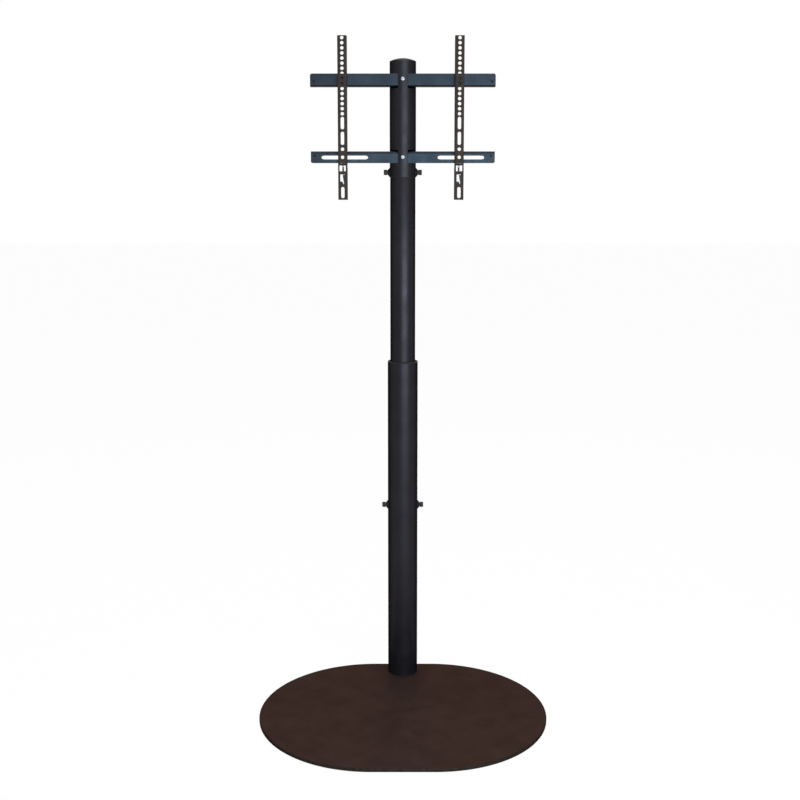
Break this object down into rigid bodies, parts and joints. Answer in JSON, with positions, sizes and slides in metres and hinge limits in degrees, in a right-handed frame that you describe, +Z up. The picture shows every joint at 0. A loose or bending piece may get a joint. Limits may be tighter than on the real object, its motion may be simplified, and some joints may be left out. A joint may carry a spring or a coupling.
{
  "type": "tv floor stand",
  "caption": "Free-standing TV floor stand: obround floor plate, telescopic tube column and a swivel head with cross bars and punched, hooked upright arms.",
  "frame": {"origin": "on the floor, under the middle of the floor plate", "axes": "+Z up, +X to the right as seen from the screen's side, -Y towards the viewer in front"},
  "size_m": [0.73, 0.58, 1.7145],
  "materials": {
    "plate_powder": "dark brown fine-textured powder coat, matt",
    "tube_powder": "black satin powder coat with a cool sheen",
    "bar_powder": "blue-black satin powder coat",
    "arm_powder": "black satin powder coat on thin sheet",
    "pad_rubber": "matt black rubber",
    "black_nylon": "black nylon, slightly worn",
    "knob_plastic": "black moulded plastic, serrated",
    "white_zinc": "bright white zinc",
    "steel": "plain turned steel",
    "black_steel": "blackened steel"
  },
  "bodies": {
    "stand_base": {"base_plate": "plate_powder", "base_pad_1": "pad_rubber", "base_pad_2": "pad_rubber", "base_pad_3": "pad_rubber", "base_pad_4": "pad_rubber", "base_pad_5": "pad_rubber", "base_pad_6": "pad_rubber", "foot_bolt_1": "black_steel", "foot_bolt_2": "black_steel", "foot_bolt_3": "black_steel", "foot_bolt_4": "black_steel", "foot_plug": "steel", "lower_tube": "tube_powder", "guide_bush": "black_nylon", "lower_left_boss": "tube_powder", "lower_right_boss": "tube_powder"},
    "mast": {"upper_tube": "tube_powder", "glide_bush": "black_nylon", "spigot": "steel", "thrust_ring": "black_nylon"},
    "head": {"head_tube": "tube_powder", "head_cap": "black_nylon", "upper_bar": "bar_powder", "lower_bar": "bar_powder", "upper_bar_screw": "white_zinc", "lower_bar_screw": "white_zinc", "upper_bar_nut": "white_zinc", "lower_bar_nut": "white_zinc", "upper_left_stop_screw": "black_steel", "upper_right_stop_screw": "black_steel", "lower_left_stop_screw": "black_steel", "lower_right_stop_screw": "black_steel", "head_left_boss": "tube_powder", "head_right_boss": "tube_powder"},
    "left_arm_set": {"left_arm": "arm_powder", "left_bolt_guide": "black_nylon", "left_latch_pin": "black_steel"},
    "left_lock": {"left_lock_bolt": "steel"},
    "left_latch": {"left_latch_lever": "bar_powder"},
    "right_arm_set": {"right_arm": "arm_powder", "right_bolt_guide": "black_nylon", "right_latch_pin": "black_steel"},
    "right_lock": {"right_lock_bolt": "steel"},
    "right_latch": {"right_latch_lever": "bar_powder"},
    "lower_left_clamp_screw": {"lower_left_stud": "steel"},
    "lower_left_clamp_knob": {"lower_left_knob": "knob_plastic"},
    "lower_right_clamp_screw": {"lower_right_stud": "steel"},
    "lower_right_clamp_knob": {"lower_right_knob": "knob_plastic"},
    "head_left_clamp_screw": {"head_left_stud": "steel"},
    "head_left_clamp_knob": {"head_left_knob": "knob_plastic"},
    "head_right_clamp_screw": {"head_right_stud": "steel"},
    "head_right_clamp_knob": {"head_right_knob": "knob_plastic"}
  },
  "joints": [
    {"name": "column_slide", "type": "slide", "parent": "stand_base", "child": "mast", "axis": [0, 0, 1], "range_m": [-0.4, 0.005]},
    {"name": "head_swivel", "type": "hinge", "parent": "mast", "child": "head", "pos_m": [0, 0.2475, 1.3625], "axis": [0, 0, 1], "continuous": true},
    {"name": "left_arm_slide", "type": "slide", "parent": "head", "child": "left_arm_set", "axis": [-1, 0, 0], "range_m": [-0.11, 0.058]},
    {"name": "right_arm_slide", "type": "slide", "parent": "head", "child": "right_arm_set", "axis": [1, 0, 0], "range_m": [-0.1, 0.068]},
    {"name": "left_lock_bolt_slide", "type": "slide", "parent": "left_arm_set", "child": "left_lock", "axis": [0, 0, -1], "range_m": [0, 0.009]},
    {"name": "left_latch_swing", "type": "hinge", "parent": "left_arm_set", "child": "left_latch", "pos_m": [-0.1476, 0.20419, 1.34075], "axis": [0, 1, 0], "range_deg": [-17, 6]},
    {"name": "right_lock_bolt_slide", "type": "slide", "parent": "right_arm_set", "child": "right_lock", "axis": [0, 0, -1], "range_m": [0, 0.009]},
    {"name": "right_latch_swing", "type": "hinge", "parent": "right_arm_set", "child": "right_latch", "pos_m": [0.1504, 0.20419, 1.34075], "axis": [0, 1, 0], "range_deg": [-17, 6]},
    {"name": "lower_left_clamp_slide", "type": "slide", "parent": "stand_base", "child": "lower_left_clamp_screw", "axis": [-1, 0, 0], "range_m": [0, 0.005]},
    {"name": "lower_left_knob_turn", "type": "hinge", "parent": "lower_left_clamp_screw", "child": "lower_left_clamp_knob", "pos_m": [-0.05, 0.2475, 0.485], "axis": [-1, 0, 0], "range_deg": [0, 1441]},
    {"name": "lower_right_clamp_slide", "type": "slide", "parent": "stand_base", "child": "lower_right_clamp_screw", "axis": [1, 0, 0], "range_m": [0, 0.005]},
    {"name": "lower_right_knob_turn", "type": "hinge", "parent": "lower_right_clamp_screw", "child": "lower_right_clamp_knob", "pos_m": [0.05, 0.2475, 0.485], "axis": [1, 0, 0], "range_deg": [0, 1441]},
    {"name": "head_left_clamp_slide", "type": "slide", "parent": "head", "child": "head_left_clamp_screw", "axis": [-1, 0, 0], "range_m": [0, 0.005]},
    {"name": "head_left_knob_turn", "type": "hinge", "parent": "head_left_clamp_screw", "child": "head_left_clamp_knob", "pos_m": [-0.044, 0.2475, 1.375], "axis": [-1, 0, 0], "range_deg": [0, 1441]},
    {"name": "head_right_clamp_slide", "type": "slide", "parent": "head", "child": "head_right_clamp_screw", "axis": [1, 0, 0], "range_m": [0, 0.005]},
    {"name": "head_right_knob_turn", "type": "hinge", "parent": "head_right_clamp_screw", "child": "head_right_clamp_knob", "pos_m": [0.044, 0.2475, 1.375], "axis": [1, 0, 0], "range_deg": [0, 1441]}
  ],
  "couplings": [
    {"joint": "lower_left_knob_turn", "follows": "lower_left_clamp_slide", "rad_per_m": 5026.5},
    {"joint": "lower_right_knob_turn", "follows": "lower_right_clamp_slide", "rad_per_m": 5026.5},
    {"joint": "head_left_knob_turn", "follows": "head_left_clamp_slide", "rad_per_m": 5026.5},
    {"joint": "head_right_knob_turn", "follows": "head_right_clamp_slide", "rad_per_m": 5026.5}
  ]
}
